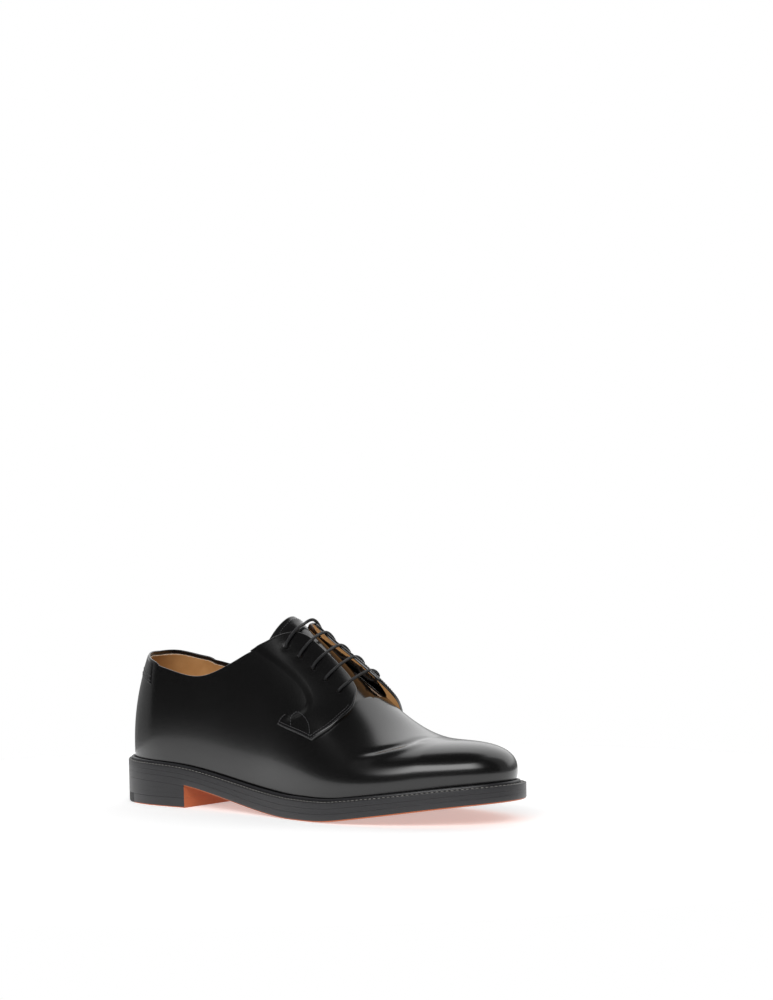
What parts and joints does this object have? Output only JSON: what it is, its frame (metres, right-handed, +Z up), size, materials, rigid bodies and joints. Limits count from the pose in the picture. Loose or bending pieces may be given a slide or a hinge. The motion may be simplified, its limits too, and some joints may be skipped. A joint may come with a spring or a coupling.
{
  "type": "derby shoe",
  "caption": "Low lace-up leather shoe for the right foot: plain one-piece body, open-laced facings over a tongue, welted leather sole and stacked heel.",
  "frame": {"origin": "middle of the sole's outline, on the floor", "axes": "+X towards the toe, +Y towards the inner (medial) side, +Z up"},
  "size_m": [0.303, 0.1096, 0.122],
  "materials": {
    "upper_leather": "polished smooth black",
    "lining_leather": "matte camel tan",
    "edge_leather": "burnished black edge",
    "sole_leather": "smooth orange tan",
    "heel_rubber": "matte black",
    "lace_cotton": "waxed round black"
  },
  "bodies": {
    "root": {"upper": "upper_leather", "facing_lateral": "upper_leather", "facing_medial": "upper_leather", "tongue": "upper_leather", "back_strap": "upper_leather", "insole": "lining_leather", "welt": "edge_leather", "midsole": "edge_leather", "heel_lifts": "edge_leather", "outsole": "sole_leather", "heel_top_piece": "sole_leather", "heel_rubber_insert": "heel_rubber", "lace": "lace_cotton"}
  },
  "joints": []
}
